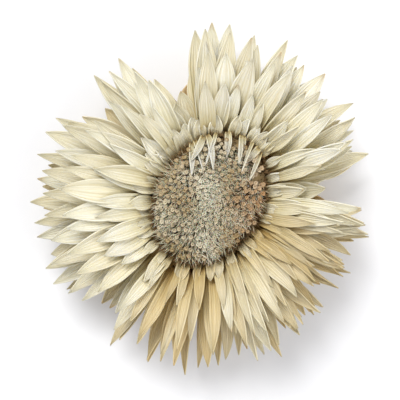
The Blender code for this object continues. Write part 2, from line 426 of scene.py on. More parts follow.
# %% Add the steps that the finishes share
class FinishDesk(NodeDesk):
    """A desk with the steps that papery and bristly finishes share."""

    def mark(self, name):
        """Read one of the marks that a pile keeps with its points."""
        return self.node("ShaderNodeAttribute", {"attribute_name": name}, out="Fac")

    def blend(self, share, first, second, way="MIX"):
        """Mix two colours by a share."""
        settings = {"data_type": "RGBA", "blend_type": way}
        return self.node("ShaderNodeMix", settings, {0: share, 6: first, 7: second}, out=2)

    def shade(self, share, colour, shade_colour):
        """Darken a colour with another by a share, as thin dye would."""
        return self.blend(share, colour, shade_colour, way="MULTIPLY")

    def ramp(self, share, stops):
        """Turn a share into a colour."""
        return self.node("ShaderNodeValToRGB", {"stops": stops}, {"Fac": share})

    def noise(self, across, along, seed, detail=3.0):
        """Return noise over a bract's own directions."""
        place = self.node("ShaderNodeCombineXYZ", None, {"X": across, "Y": along, "Z": seed})
        sockets = {"Vector": place, "Scale": 1.0, "Detail": detail, "Roughness": 0.6}
        return self.node("ShaderNodeTexNoise", None, sockets, out="Fac")

    def wave(self, turn):
        """Return a smooth wave between 0 and 1, from its turn in radians."""
        sine = self.node("ShaderNodeMath", {"operation": "SINE"}, {0: turn})
        return 0.5 + 0.5 * sine

    def ease(self, value, start, end):
        """Return 0 at a start value and 1 at an end value, with a soft step between."""
        settings = {"interpolation_type": "SMOOTHSTEP"}
        sockets = {"Value": value, "From Min": start, "From Max": end}
        return self.node("ShaderNodeMapRange", settings, sockets)

    def finish(self, colour, roughness, height, depth):
        """Feed the surface: its colour, its roughness, and a bump of a depth in metres."""
        self.feed(self.surface.inputs["Base Color"], colour)
        self.feed(self.surface.inputs["Roughness"], roughness)
        relief = {"Height": height, "Distance": depth}
        bump = self.node("ShaderNodeBump", None, relief, out="Normal")
        self.feed(self.surface.inputs["Normal"], bump)
        print(self.material.name, "uses", len(self.tree.nodes), "nodes")
        return self.material


print("each finish ends in a colour, a roughness and a bump")

# %% [markdown]
# Colours are chosen on a screen, but light is reckoned on an even scale. One function
# turns the first into the second, so the numbers below can be tried in any paint program.

# %% Name colours as a screen shows them
def tone(red, green, blue):
    """Turn a colour as a screen shows it, 0 to 255, into the shader's own scale."""
    def linear(value):
        share = value / 255
        return share / 12.92 if share <= 0.04045 else ((share + 0.055) / 1.055) ** 2.4
    return (linear(red), linear(green), linear(blue), 1.0)


print("a middle grey on the screen is", round(tone(128, 128, 128)[0], 3), "in a shader")

# %% [markdown]
# A dried ray bract is tanned at its claw, cream along its body and almost white near its tip.
# Sunned ones are warmer, bleached ones cooler, and age, stains and dry tips differ. The warm tan
# is also painted shade, laid on the whorls that lie under the others. One flat ivory would look
# like plastic, so each effect has a colour and a share.

# %% Choose the ivory bract's colours
RAY_COLOURS = (
    (0.0, tone(170, 134, 72)),
    (0.12, tone(226, 206, 152)),
    (0.36, tone(240, 233, 202)),
    (0.75, tone(242, 239, 223)),
    (1.0, tone(239, 235, 214)),
)
SUN_TAN_AND_SHADE = tone(232, 212, 170)
BLEACHED = tone(231, 229, 221)
FURROW = tone(212, 200, 160)
STAIN = tone(226, 200, 148)
AGED = tone(234, 226, 204)
DRY_TIP = tone(204, 166, 104)
RAY_SHARES = {
    "tan_and_shade": 0.85, "bleached": 0.75, "vein": 0.35, "rib": 0.22, "aged": 0.4, "dry tip": 0.7,
}
print("a ray bract runs through", len(RAY_COLOURS), "colours from claw to tip")

# %% [markdown]
# Light comes through a dried bract, and fine veins run along it over broader ribs. Scattering
# wider than the sheet is thick takes light to the far side, which makes thin paper glow. A
# see-through shader would show the crowded bracts behind.

# %% Make the ivory bract's finish
IVORY_PAPER = {
    "Subsurface Weight": 0.3,
    "Subsurface Radius": (1.0, 0.9, 0.65),
    "Subsurface Scale": 0.3 * MM,
    "Specular IOR Level": 0.45,
}
SEED_STEP = 60
VEINS_ACROSS = 8
VEIN_EDGES = (0.36, 0.62)
RIB_TURNS = 19.0
AGE_TURNS = 44


def make_ivory():
    """Return the finish of the ray bracts."""
    desk = FinishDesk("ivory_paper", IVORY_PAPER)
    along, across = desk.mark("along"), desk.mark("across")
    tint, warmth = desk.mark("tint"), desk.mark("warmth")
    seed = tint * SEED_STEP
    fibres = desk.noise(across * VEINS_ACROSS + seed, along * 1.1, seed, detail=4.0)
    ribs = desk.wave(across * RIB_TURNS + fibres * 5)
    cloud = desk.noise(across * 1.2 + seed, along * 4, seed + 9)
    body = desk.ramp(along, RAY_COLOURS)
    # Warm tan: partly the bracts' own tone, partly painted shade on whorls under the others.
    tan_and_shade = desk.shade(RAY_SHARES["tan_and_shade"], body, SUN_TAN_AND_SHADE)
    bleached = desk.blend(RAY_SHARES["bleached"], body, BLEACHED)
    colour = desk.blend(desk.ease(warmth, 0.0, 1.0), body, tan_and_shade)
    cooled = desk.ease(warmth, 0.0, -0.6) * desk.ease(along, 0.25, 0.8)
    colour = desk.blend(cooled, colour, bleached)
    lines = desk.ease(fibres, *VEIN_EDGES)
    streaks = (1 - lines) * RAY_SHARES["vein"] + (1 - ribs) * RAY_SHARES["rib"]
    colour = desk.shade(streaks, colour, FURROW)
    stained = desk.ease(cloud, 0.58, 0.78) * (0.1 + 0.3 * tint)
    colour = desk.shade(stained, colour, STAIN)
    age = desk.ease(desk.wave(tint * AGE_TURNS), 0.2, 0.9)
    colour = desk.shade(age * RAY_SHARES["aged"], colour, AGED)
    dried = desk.ease(tint, 0.72, 0.95) * desk.ease(along + cloud * 0.2, 1.0, 1.14)
    colour = desk.blend(dried * RAY_SHARES["dry tip"], colour, DRY_TIP)
    roughness = 0.52 - 0.12 * lines + 0.1 * cloud
    return desk.finish(colour, roughness, fibres + 0.5 * ribs, 0.09 * MM)


IVORY = (make_ivory(), "ivory_bract", "ray_bracts")

# %% [markdown]
# The ray bracts stand in whorls. Each starts lower on the bowl than the one inside it and lies
# flatter, and two partial ones fill the lower right. One ring copied round would look stamped,
# so each whorl has its own rule. Radius, height and width are in mm, the share is of the head's
# reach, and rises are in degrees, at root and tip.

# %% List the whorls of ray bracts
ROUND = (-180, 180)
RAY_WHORLS = table(
    "name count arc radius height share rise width",
    ("collar", 40, ROUND, 6.1, 7.9, 0.46, (56, 16), 1.25),
    ("inner", 38, ROUND, 6.4, 7.6, 0.66, (54, 15), 1.55),
    ("upper", 42, ROUND, 6.8, 7.1, 0.84, (47, 6), 1.95),
    ("middle", 46, ROUND, 7.0, 6.3, 0.94, (30, -1), 2.05),
    ("lower", 48, ROUND, 7.0, 5.5, 0.99, (14, -8), 2.1),
    ("under", 40, ROUND, 7.0, 5.0, 0.93, (8, -12), 2.1),
    ("fringe", 20, (-78, -4), 6.9, 7.2, 0.82, (50, 14), 1.5),
    ("hem", 24, (-72, -6), 7.0, 5.9, 0.97, (24, -5), 2.0),
)
print("ray bracts in all:", sum(whorl["count"] for whorl in RAY_WHORLS))

# %% [markdown]
# In calm bunches bracts lie side by side, in tangled ones they cross. The further out a whorl
# reaches, the more it parts at a gap, as the short inner ones have to hide the bowl. A reach
# seen from above, divided by the bend's mean cosine, gives the length without trial and error.

# %% Find where a ray bract stands and how long it is
LEAST_TANGLE = 0.15
PARTING_STARTS = 0.5
PARTING_WHOLE = 0.9
MEAN_STEPS = 12


def ray_heading(whorl, index, start):
    """Return a bract's even heading, its real heading and how tangled it is."""
    first_heading, last_heading = (math.radians(value) for value in whorl["arc"])
    share = (index + draw.uniform(-0.25, 0.25)) / whorl["count"]
    even = start + first_heading + (last_heading - first_heading) * share
    tangle = max(LEAST_TANGLE, 1.0 + stretch_sum(even, "tangle"))
    freedom = (whorl["share"] - PARTING_STARTS) / (PARTING_WHOLE - PARTING_STARTS)
    freedom = min(1.0, max(0.0, freedom))
    heading = even + freedom * parting(even) + math.radians(draw.uniform(-3, 3)) * tangle
    return even, heading, tangle


def cosine_mean(first, last):
    """Return the mean cosine of a rise that eases from one angle to another."""
    total = 0.0
    for index in range(MEAN_STEPS):
        total += math.cos(first + (last - first) * soft_step((index + 0.5) / MEAN_STEPS))
    return total / MEAN_STEPS


collar_rise = [math.radians(rise) for rise in RAY_WHORLS[0]["rise"]]
print("a collar bract reaches", round(cosine_mean(*collar_rise), 2), "of its length")

# %% [markdown]
# Drying bends every bract in its own way. The bends are a plan of plain numbers before any mesh
# is made, so one function can bend rays, white tips and scales. Each bract is rolled a little,
# to lie over its neighbour like a shingle.

# %% Plan one ray bract
RAY_REACH = 17.9 * MM
SHORTEST_RAY = 2.2 * MM
MOST_TANGLE = 1.3
REACH_TANGLE = 1.1
DISC_STRETCH = 1.16
# Painted shade: whorls lying under the others get extra warmth, which darkens them to tan.
WHORL_SHADE_WARMTH = {"lower": 0.1, "under": 0.5}


def dried_bends(tangle):
    """Return the bends that drying gives one ray bract."""
    return {
        "sway": math.radians(draw.gauss(0, 5)) * tangle,
        "wander": math.radians(draw.gauss(0, 4)) * tangle,
        "phase": draw.uniform(0, FULL_TURN),
        "roll": math.radians(draw.uniform(2, 14)) * min(1.0, tangle),
        "twist": math.radians(draw.gauss(0, 16)) * tangle,
        "furl_root": draw.uniform(0.9, 1.4),
        "furl_tip": draw.uniform(0.3, 1.1) * min(1.0, tangle),
        "pleat": draw.uniform(0.03, 0.09),
        "folds": draw.choice((2.0, 3.0)),
        "ripple": draw.uniform(0.0, 0.26) * tangle,
        "ripples": draw.uniform(5, 11),
        "crumple": 0.035 * min(MOST_TANGLE, tangle),
    }


def ray_plan(whorl, index, start):
    """Return the bends, size and colour of one ray bract."""
    even, heading, tangle = ray_heading(whorl, index, start)
    radius = whorl["radius"] * MM * oval_share(heading, DISC_STRETCH)
    first = math.radians(whorl["rise"][0] + draw.uniform(-5, 5))
    last = math.radians(whorl["rise"][1] + draw.uniform(-8, 8) * tangle)
    outer = RAY_REACH * whorl["share"] * reach_share(even)
    outer *= 1 + min(REACH_TANGLE, tangle) * draw.uniform(-0.06, 0.03)
    curl = stretch_sum(even, "curl") * whorl["share"] ** 4
    curl += draw.gauss(0, 13) * min(MOST_TANGLE, tangle)
    height = whorl["height"] * MM + draw.uniform(-0.15, 0.15) * MM
    width = whorl["width"] * MM * (1 + stretch_sum(even, "width")) * draw.uniform(0.82, 1.15)
    plan = {
        "root": AXIS + off_axis(heading, radius, height),
        "heading": heading,
        "length": max(SHORTEST_RAY, outer - radius) / cosine_mean(first, last),
        "width": width,
        "outline": ray_outline,
        "fullness": draw.uniform(1.05, 1.6),
        "rise_root": first,
        "rise_tip": last,
        "curl": math.radians(curl),
    }
    plan.update(dried_bends(tangle))
    plan["tint"] = draw.random()
    # Painted shade: whorls under the others are warmed towards the darker tan.
    painted_shade = WHORL_SHADE_WARMTH.get(whorl["name"], 0)
    plan["warmth"] = stretch_sum(even, "warmth") + painted_shade + draw.uniform(-0.15, 0.2)
    return plan


print("the head reaches", in_mm([RAY_REACH])[0], "mm from its axis on a plain stretch")

# %% [markdown]
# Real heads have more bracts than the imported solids, and thinner ones. A full whorl starts at a
# random heading, so that no two line up. Each whorl is one mesh, which is light and still lets a
# maker recolour one layer.

# %% Grow the ray bracts
RAY_SKIN = 0.12 * MM


def grow_whorl(name, plans, thickness, kind):
    """Bend a whorl of bracts into one piece of a kind: its finish, its slot and its node."""
    pile = Pile()
    for plan in plans:
        add_bract(pile, plan)
    thicken(place_piece(name, pile.make(name), *kind), thickness)
    bracts = len(pile.faces) // (ROWS * COLUMNS)
    highest = max(point.z for point in pile.points)
    print(name, "holds", bracts, "bracts, highest point", round(highest / MM, 2), "mm")


for whorl in RAY_WHORLS:
    start = draw.uniform(0, FULL_TURN) if whorl["arc"] is ROUND else 0.0
    plans = (ray_plan(whorl, index, start) for index in range(whorl["count"]))
    grow_whorl(f"rays_{whorl['name']}", plans, RAY_SKIN, IVORY)

# %% [markdown]
# Four parts of the head are round forms: the bowl of packed claws, the dome under the florets,
# the cup behind the scales and the stalk. A Screw modifier could spin them, but they are ribbed
# ovals, so a profile is walked round the axis in code.

# %% Turn a ribbed form round the axis
SIDES_PER_RIB = 4
RIDGE = 0.012
RIDGE_FULL_RADIUS = 3
TURNED_WARMTH = 0.3


def ring_faces(rings, sides):
    """Return the faces of rings of points, one after another, closed at the first ring."""
    faces = [list(range(sides))[::-1]]
    for step in range(rings - 1):
        for side in range(sides):
            beside = (side + 1) % sides
            low, high = step * sides, (step + 1) * sides
            faces.append((low + side, low + beside, high + beside, high + side))
    return faces


def last_ring(rings, sides):
    """Return the face that closes the last ring."""
    return [(rings - 1) * sides + side for side in range(sides)]


def turned_piece(name, profile, ribs, stretch, kind, tint=0.4, last_mark=1.0):
    """Turn a profile of (radius, height) in mm to a ribbed oval of a kind."""
    sides = SIDES_PER_RIB * ribs
    rings = len(profile)
    points = []
    for step, (radius, height) in enumerate(profile):
        along = step / (rings - 1) * last_mark
        for side in range(sides):
            heading = FULL_TURN * side / sides
            ridge = 1 + RIDGE * math.cos(ribs * heading) * min(1.0, radius / RIDGE_FULL_RADIUS)
            out = radius * MM * ridge * oval_share(heading, stretch)
            place = AXIS + off_axis(heading, out, height * MM)
            points.append((place, along, math.sin(ribs * heading)))
    faces = ring_faces(rings, sides) + [last_ring(rings, sides)]
    pile = Pile()
    pile.add(points, faces, tint, TURNED_WARMTH)
    place_piece(name, pile.make(name), *kind)
    print(name, "is turned from", rings, "rings of", sides, "points")


print("a ridge stands out by", round(100 * RIDGE, 1), "percent of the radius")

# %% [markdown]
# Between the claws of the ray bracts a ribbed bowl shows round the disc. Claws modelled one by
# one would hardly show, so it is one turned form, all in the dark tan at the foot of the claws.
# That tan is partly the claws' own colour and partly painted shade, so the bowl reads as the
# depth in shade between them.

# %% Turn the ribbed bowl
BOWL_PROFILE = (
    (0.3, 4.65), (4.0, 4.65), (7.3, 4.7), (7.6, 5.6), (7.3, 6.6), (6.6, 7.3),
    (6.2, 7.4), (6.0, 6.8), (5.6, 6.4), (0.3, 6.3),
)
BOWL_RIBS = 40
# Painted shade: marks end early along the bowl, so it keeps the dark tan of the claws.
CLAW_TAN_SHADE_END = 0.05
turned_piece("ray_bowl", BOWL_PROFILE, BOWL_RIBS, DISC_STRETCH, IVORY, last_mark=CLAW_TAN_SHADE_END)

# %% [markdown]
# A dried floret is a brown tube, darker at its foot, with a paler mouth and a browned rim. Some
# are greyer and some browner. A material for each kind would be slow to tune, so the marks say
# how grey and how brown each tube is.

# %% Make the florets' finish
FLORET_COLOURS = (
    (0.0, tone(72, 58, 32)),
    (0.5, tone(156, 140, 100)),
    (0.85, tone(208, 192, 150)),
    (1.0, tone(158, 132, 86)),
)


def make_floret_finish():
    """Return the finish of the disc's tubes."""
    desk = FinishDesk("floret_brown", {"Specular IOR Level": 0.3})
    along, tint = desk.mark("along"), desk.mark("tint")
    grain = desk.noise(desk.mark("across") * 6, along * 5, tint * 40)
    body = desk.ramp(along, FLORET_COLOURS)
    grey = desk.blend(tint, body, tone(236, 232, 210))
    brown = desk.blend(desk.mark("warmth"), grey, tone(182, 142, 98))
    colour = desk.shade(desk.ease(grain, 0.35, 0.65) * 0.3, brown, tone(200, 192, 174))
    return desk.finish(colour, 0.85 - 0.1 * grain, grain, 0.04 * MM)


FLORET_BROWN = (make_floret_finish(), "dry_floret", "disc_florets")

# %% [markdown]
# Between the tubes stand stiff pale bristles, the disc's grey fuzz. They are too fine for veins,
# so they only pale from foot to tip and turn tawny where the disc is browner. A little
# scattering keeps them from looking like wire.

# %% Make the bristles' finish
def make_bristle_finish():
    """Return the finish of the pale bristles."""
    desk = FinishDesk("bristle_grey", {"Subsurface Weight": 0.15, "Subsurface Scale": 0.1 * MM})
    along, tint = desk.mark("along"), desk.mark("tint")
    grain = desk.noise(tint * 20, along * 8, tint * 31)
    body = desk.blend(desk.ease(along, 0.0, 0.7), tone(196, 188, 156), tone(248, 245, 224))
    colour = desk.blend(tint * 0.9, body, tone(196, 184, 148))
    colour = desk.blend(desk.mark("warmth"), colour, tone(206, 162, 114))
    return desk.finish(colour, 0.7 - 0.15 * grain, grain, 0.02 * MM)


BRISTLE_GREY = (make_bristle_finish(), "dry_floret", "disc_florets")

# %% [markdown]
# The disc is a low dome. Its outer tubes lean outwards, and those in the middle stand straight.
# A sphere would be too round at the top, so a power of the radius flattens the dome, and the
# lean grows with the radius.

# %% Shape the dome under the tubes
DISC_RADIUS = 6.3 * MM
DOME_EDGE = 8.7
DOME_TOP = 10.7
DOME_POWER = 2.4
EDGE_LEAN = 0.55
LEAN_POWER = 1.5


def dome_height(radius):
    """Return the height of the dome under the tubes at a radius, all in metres."""
    share = min(1.0, radius / DISC_RADIUS)
    return (DOME_EDGE + (DOME_TOP - DOME_EDGE) * (1 - share ** DOME_POWER)) * MM


def dome_point(radius, heading):
    """Return a point of the oval dome."""
    out = radius * oval_share(heading, DISC_STRETCH)
    return AXIS + off_axis(heading, out, dome_height(radius))


def dome_facing(radius, heading):
    """Return the way that a tube faces at a point of the dome."""
    lean = EDGE_LEAN * (radius / DISC_RADIUS) ** LEAN_POWER
    return off_axis(heading, math.sin(lean), math.cos(lean))


print("the dome rises to", round(dome_height(0) / MM, 2), "mm")

# %% [markdown]
# One floret is a tube less than half a millimetre wide, with a flared, lobed mouth. A cylinder
# would do from afar, but its flat top would catch the light up close, so the profile goes up
# outside, over the lip and down into the mouth.

# %% Model one tube
TUBE_SIDES = 6
TUBE_LOBE = 0.18
TUBE_PROFILE = (
    (0.7, 0.0), (0.62, 0.45), (0.75, 0.8), (1.15, 1.0), (0.55, 0.92), (0.12, 0.7),
)


def add_tube(pile, place, facing, radius, height, tint, warmth):
    """Add one tube with a flared mouth and a hollow in it."""
    turn = facing.to_track_quat("Z", "Y").to_matrix()
    rings = len(TUBE_PROFILE)
    points = []
    for out, up in TUBE_PROFILE:
        for side in range(TUBE_SIDES):
            heading = FULL_TURN * side / TUBE_SIDES
            lobe = 1 + TUBE_LOBE * (side % 2) * up
            step = off_axis(heading, out * radius * lobe, up * height)
            points.append((place + turn @ step, up, math.cos(heading)))
    faces = ring_faces(rings, TUBE_SIDES) + [last_ring(rings, TUBE_SIDES)]
    pile.add(points, faces, tint, warmth)


print("one tube has", TUBE_SIDES * len(TUBE_PROFILE), "points")

# %% [markdown]
# A bristle is a stiff hair with a slight bend. Hair curves would make them quickly, but they are
# not meshes and would be lost when the head is exported. A spike with three sides and a knee
# costs seven points and reads as a round hair.

# %% Model one bristle
BRISTLE_RADIUS = 0.05 * MM
BRISTLE_SIDES = 3
BRISTLE_KNEE = 0.55
BRISTLE_TAPER = 0.4
BRISTLE_BEND = 0.12


def sideways(spread, height=0.0):
    """Return a random step to the side, with a set height."""
    return Vector((draw.gauss(0, spread), draw.gauss(0, spread), height))


def add_bristle(pile, place, facing, length, tint, warmth, last_mark=1.0):
    """Add one stiff bristle, a slim three-sided spike with a bend."""
    turn = facing.to_track_quat("Z", "Y").to_matrix()
    bend = sideways(BRISTLE_BEND) * length
    points = []
    for share in (0.0, BRISTLE_KNEE):
        out = BRISTLE_RADIUS * (1 - BRISTLE_TAPER * share)
        for side in range(BRISTLE_SIDES):
            step = off_axis(FULL_TURN * side / BRISTLE_SIDES, out, share * length)
            step += bend * share * share
            points.append((place + turn @ step, share * last_mark, side - 1))
    tip = len(points)
    points.append((place + turn @ (Vector((0.0, 0.0, length)) + bend), last_mark, 0))
    faces = ring_faces(2, BRISTLE_SIDES)
    for side in range(BRISTLE_SIDES):
        beside = (side + 1) % BRISTLE_SIDES
        faces.append((BRISTLE_SIDES + side, BRISTLE_SIDES + beside, tip))
    pile.add(points, faces, tint, warmth)


print("one bristle is", round(2 * BRISTLE_RADIUS / MM, 2), "mm thick at its foot")

# %% [markdown]
# Handled bristles lie in tufts, and the fuzz is paler in patches. Random leans alone would give
# an even felt, so slow waves over the disc turn the lean and set the paleness.

# %% Comb the bristles into tufts
COMB_HEADING = 4.4
COMB_WAVES = 800
PATCH_WAVES = 1300
PATCH_CROSS_WAVES = 1100
PATCH_SLANT = 900


def combed(place):
    """Return the way in which the bristles lean at a point, as if brushed in tufts."""
    across = COMB_WAVES * place.x
    along = COMB_WAVES * place.y
    turn = COMB_HEADING + 0.8 * math.sin(across + 1.3) + 0.7 * math.sin(1.3 * along - across)
    return off_axis(turn, 1.0, 0.0)


def clump(place):
    """Return how pale the fuzz is at a point, mostly between 0 and 1, in patches."""
    wave = math.sin(PATCH_WAVES * place.x + 0.7)
    wave += math.sin(PATCH_CROSS_WAVES * place.y + PATCH_SLANT * place.x)
    return 0.5 + 0.35 * wave


print("patches of fuzz are", round(math.pi / PATCH_WAVES / MM, 1), "mm wide")

# %% [markdown]
# Each floret sits a golden angle on from the last, which packs them as the plant does, while
# rows or rings would show as lines. The tubes grow taller and wider outwards, and each is
# planted with a few bristles.

# %% Plant the tubes and the bristles
TUBE_COUNT = 420
BRISTLES_EACH = 12
FIELD_RADIUS = 5.35 * MM
GOLDEN_ANGLE = math.pi * (3 - math.sqrt(5))
BROWN_HEADING = -5
BROWN_SPREAD = 40


def within_one(value):
    """Return a value kept between 0 and 1."""
    return min(1.0, max(0.0, value))


def plant_tube(pile, index):
    """Set one tube on the dome, and return its place, facing, brown and pale shares."""
    share = math.sqrt((index + 0.5) / TUBE_COUNT)
    heading = index * GOLDEN_ANGLE + draw.uniform(-0.08, 0.08)
    place = dome_point(FIELD_RADIUS * share, heading)
    browner = 0.8 * bell(heading, BROWN_HEADING, BROWN_SPREAD) * share + draw.uniform(0, 0.25)
    facing = (dome_facing(FIELD_RADIUS * share, heading) + sideways(0.16)).normalized()
    height = (0.75 + 0.5 * share) * MM * draw.uniform(0.7, 1.2)
    radius = (0.14 + 0.06 * share) * MM * draw.uniform(0.85, 1.15)
    # Painted shade: the outermost tubes, and their bristles, are less pale towards the ring.
    pale = within_one(0.7 * clump(place) + 0.3 * draw.random() - 0.5 * share ** 8)
    add_tube(pile, place, facing, radius, height, pale, min(1.0, browner))
    return place, facing, browner, pale


def plant_bristles(pile, place, facing, browner, pale):
    """Set the bristles round one tube."""
    for _ in range(BRISTLES_EACH):
        foot = place + sideways(0.2, -0.1) * MM
        lean = facing + 0.7 * combed(place) + sideways(0.35)
        length = draw.uniform(1.0, 2.0) * MM
        tawny = 0.8 * browner * draw.random()
        dull = within_one(1.0 - pale + draw.gauss(0, 0.25))
        add_bristle(pile, foot, lean.normalized(), length, dull, tawny)


tubes, bristles = Pile(), Pile()
for index in range(TUBE_COUNT):
    plant_bristles(bristles, *plant_tube(tubes, index))
print("the disc holds", TUBE_COUNT, "tubes and", BRISTLES_EACH * TUBE_COUNT, "bristles")

# %% [markdown]
# Round the disc runs a thin dark ring, the shade in the gap before the innermost bracts, where
# short tufts stand. A ring painted on the dome would be too clean, so the tufts are real
# bristles, piled with the tubes. They get no paleness and only the dark lower part of the
# tubes' brown: painted shade for the gap.

# %% Ring the disc with dark tufts
EDGE_TUFTS = 190
EDGE_RADIUS = 5.75 * MM
TUFT_DEPTH = 1.6
TUFT_RISE = 1.3
TUFT_SHADE_LAST_MARK = 0.4
FOOT_SPREADS = (0.2, 0.2, 0.2)
LEAN_SPREADS = (0.4, 0.4, 0.3)

for index in range(EDGE_TUFTS):
    heading = FULL_TURN * (index + draw.uniform(-0.4, 0.4)) / EDGE_TUFTS
    place = dome_point(EDGE_RADIUS, heading)
    place.z -= draw.uniform(0.0, TUFT_DEPTH) * MM
    for _ in range(BRISTLES_EACH):
        foot = place + Vector([draw.gauss(0, spread) for spread in FOOT_SPREADS]) * MM
        lean = off_axis(heading, 1.0, TUFT_RISE)
        lean += Vector([draw.gauss(0, spread) for spread in LEAN_SPREADS])
        length = draw.uniform(0.5, 1.15) * MM
        brown = draw.random()
        # Painted shade: no paleness, and marks only up to the dark lower part of the brown.
        add_bristle(tubes, foot, lean.normalized(), length, 0.0, brown, TUFT_SHADE_LAST_MARK)
place_piece("disc_tubes", tubes.make("disc_tubes"), *FLORET_BROWN)
place_piece("disc_bristles", bristles.make("disc_bristles"), *BRISTLE_GREY)
print("the ring holds", EDGE_TUFTS, "tufts of", BRISTLES_EACH, "bristles")

# %% [markdown]
# The tubes grow from a solid dome, the dark ground between them. A ball would leave some of them
# hanging, so it is turned from the height formula that the tubes stand on.

# %% Turn the dome of the disc
DOME_RIBS = 30
DOME_RADIUS = 5.9
DOME_PROFILE = [(0.3, 6.5), (DOME_RADIUS, 6.5), (6.0, 7.6)]
for share in (1, 0.85, 0.65, 0.4, 0.05):
    DOME_PROFILE.append((DOME_RADIUS * share, dome_height(DISC_RADIUS * share) / MM))
turned_piece("disc_dome", DOME_PROFILE, DOME_RIBS, DISC_STRETCH, FLORET_BROWN, tint=0.0)

# %% [markdown]
# At the top of the disc a few slim white bracts bend over the florets, the brightest marks on
# it. Turning bracts of the collar inwards would leave holes there, so these are bracts of their
# own, rooted at the disc's edge.

# %% Bend white tips over the top of the disc
WHITE_TIPS = 12
TIPS_START = 38
TIPS_SWEEP = 74
TIPS_RADIUS = 6.35 * MM
TIPS_HEIGHT = 8.9 * MM


def tip_plan(index):
    """Return the bends and size of one white tip."""
    sweep = TIPS_SWEEP * (index + draw.uniform(0.0, 1.0)) / WHITE_TIPS
    side = math.radians(TIPS_START + sweep)
    out = TIPS_RADIUS * oval_share(side, DISC_STRETCH)
    return {
        "root": AXIS + off_axis(side, out, TIPS_HEIGHT),
        "heading": side + math.pi + draw.gauss(0, 0.34),
        "length": draw.uniform(2.8, 6.0) * MM,
        "width": draw.uniform(0.35, 0.85) * MM,
        "outline": ray_outline,
        "fullness": 1.1,
        "rise_root": math.radians(draw.uniform(62, 78)),
        "rise_tip": math.radians(draw.uniform(-8, 14)),
        "curl": math.radians(draw.uniform(-10, 25)),
        "sway": draw.gauss(0, 0.12),
        "wander": 0.1,
        "phase": draw.uniform(0, 6),
        "roll": draw.gauss(0, 0.2),
        "twist": draw.gauss(0, 0.3),
        "furl_root": 1.3,
        "furl_tip": 0.8,
        "pleat": 0.03,
        "folds": 2.0,
        "ripple": 0.1,
        "ripples": 6.0,
        "crumple": 0.05,
        "tint": 0.1 * draw.random(),
        "warmth": -1.0,
    }


tip_plans = (tip_plan(index) for index in range(WHITE_TIPS))
grow_whorl("rays_leaning", tip_plans, RAY_SKIN, IVORY)

# %% [markdown]
# Under the head lie short scale bracts, tougher than the rays and tanned like straw, with a
# paler thin margin. The rays' finish with more warmth would lack that margin, so they have one
# of their own, made in the same manner.

# %% Make the tan scale's finish
TAN_PAPER = {
    "Subsurface Weight": 0.2,
    "Subsurface Radius": (1.0, 0.85, 0.6),
    "Subsurface Scale": 0.3 * MM,
}
SCALE_COLOURS = (
    (0.0, tone(124, 98, 56)),
    (0.4, tone(190, 160, 106)),
    (0.8, tone(216, 192, 144)),
    (1.0, tone(228, 211, 174)),
)


def make_tan():
    """Return the finish of the scale bracts."""
    desk = FinishDesk("tan_paper", TAN_PAPER)
    along, across, tint = desk.mark("along"), desk.mark("across"), desk.mark("tint")
    seed = tint * SEED_STEP
    veins = desk.noise(across * VEINS_ACROSS + seed, along * 1.4, seed, detail=4.0)
    body = desk.ramp(along, SCALE_COLOURS)
    margin = desk.ease(across * across, 0.45, 1.0)
    colour = desk.blend(margin * 0.6, body, tone(232, 214, 172))
    colour = desk.shade(tint * 0.5, colour, tone(208, 176, 122))
    lines = desk.ease(veins, *VEIN_EDGES)
    colour = desk.shade((1 - lines) * 0.55, colour, tone(192, 164, 122))
    return desk.finish(colour, 0.46 + 0.15 * lines, veins, 0.06 * MM)


TAN = (make_tan(), "tan_bract", "outer_bracts")

# %% [markdown]
# The scales overlap like roof tiles, in whorls that close in on the stem. Flat tiles would look
# cut out, so they are bent as the rays are, only more calmly. Those of the sole lie almost flat,
# as the head rests on them. Radius, height and size (width, length) are in mm, rises in degrees.

# %% Plan one scale bract
CUP_STRETCH = 1.09
LEAST_SCALE_WIDTH = 0.05
SOLE_BEND = 0.15
SCALE_WHORLS = table(
    "name count radius height rise size",
    ("rim", 24, 6.8, 2.75, (24, 6), (3.1, 6.0)),
    ("side", 20, 5.6, 1.4, (25, 22), (3.1, 5.0)),
    ("foot", 16, 4.2, 0.6, (12, 26), (2.8, 4.3)),
    ("sole", 11, 1.9, 0.11, (0, 3), (2.2, 3.3)),
)


def scale_outline(along, fullness):
    """Return a scale bract's width along its length: broad, with a blunt point."""
    return max(LEAST_SCALE_WIDTH, math.sqrt(max(0.0, 1 - along ** (2 + fullness))))


def scale_plan(whorl, index, start):
    """Return the bends, size and colour of one scale bract."""
    heading = start + FULL_TURN * (index + draw.uniform(-0.14, 0.14)) / whorl["count"]
    radius = whorl["radius"] * MM * oval_share(heading, CUP_STRETCH)
    bend = SOLE_BEND if whorl["name"] == "sole" else 1.0
    return {
        "root": AXIS + off_axis(heading, radius, whorl["height"] * MM),
        "heading": heading,
        "length": whorl["size"][1] * MM * draw.uniform(0.92, 1.06),
        "width": whorl["size"][0] * MM * draw.uniform(0.9, 1.08),
        "outline": scale_outline,
        "fullness": draw.uniform(0.2, 1.0),
        "rise_root": math.radians(whorl["rise"][0]),
        "rise_tip": math.radians(whorl["rise"][1] + draw.uniform(-4, 4) * bend),
        "curl": math.radians(draw.uniform(-14, 6)) * bend,
        "sway": math.radians(draw.gauss(0, 3)),
        "wander": 0.0,
        "phase": draw.uniform(0, FULL_TURN),
        "roll": math.radians(draw.uniform(2, 8)) * bend,
        "twist": math.radians(draw.gauss(0, 5)) * bend,
        "furl_root": 0.05 + 0.6 * bend,
        "furl_tip": 0.05 + 0.4 * bend,
        "pleat": 0.02,
        "folds": 3.0,
        "ripple": draw.uniform(0.0, 0.1) * bend,
        "ripples": draw.uniform(4, 9),
        "crumple": 0.02 * bend,
        "tint": draw.random(),
        "warmth": 0.0,
    }


print("scale bracts in all:", sum(whorl["count"] for whorl in SCALE_WHORLS))

